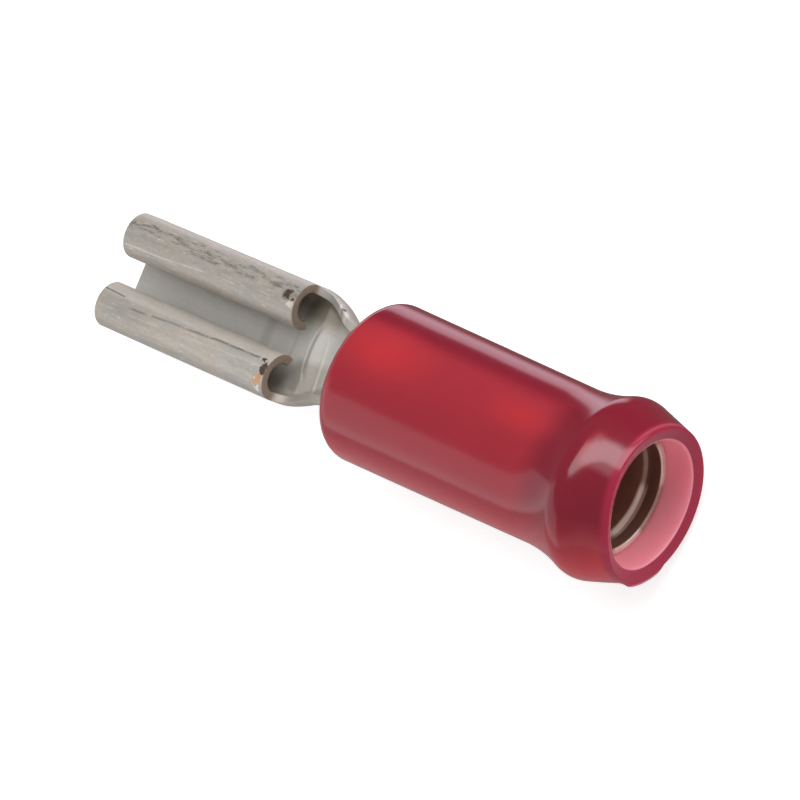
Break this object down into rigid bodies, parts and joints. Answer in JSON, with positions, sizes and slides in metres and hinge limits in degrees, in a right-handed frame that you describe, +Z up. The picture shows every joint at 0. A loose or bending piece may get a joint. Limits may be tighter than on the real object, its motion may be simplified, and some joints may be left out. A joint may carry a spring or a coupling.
{
  "type": "insulated female spade connector",
  "caption": "Crimp connector that grips a flat tab: a tin-plated rolled box and wire barrel inside a red nylon sleeve with a flared wire mouth.",
  "frame": {"origin": "centre of the part's outline in plan, on the surface that it lies on", "axes": "+X along the barrel axis towards the tab end, +Z up out of the open side of the rolled box"},
  "size_m": [0.02, 0.0052, 0.0052],
  "materials": {
    "tinned_brass": "satin tin plate, scratched",
    "copper": "bright drawn",
    "red_nylon": "translucent, semi gloss"
  },
  "bodies": {
    "root": {"receptacle": "tinned_brass", "support_sleeve": "copper", "insulating_sleeve": "red_nylon"}
  },
  "joints": []
}
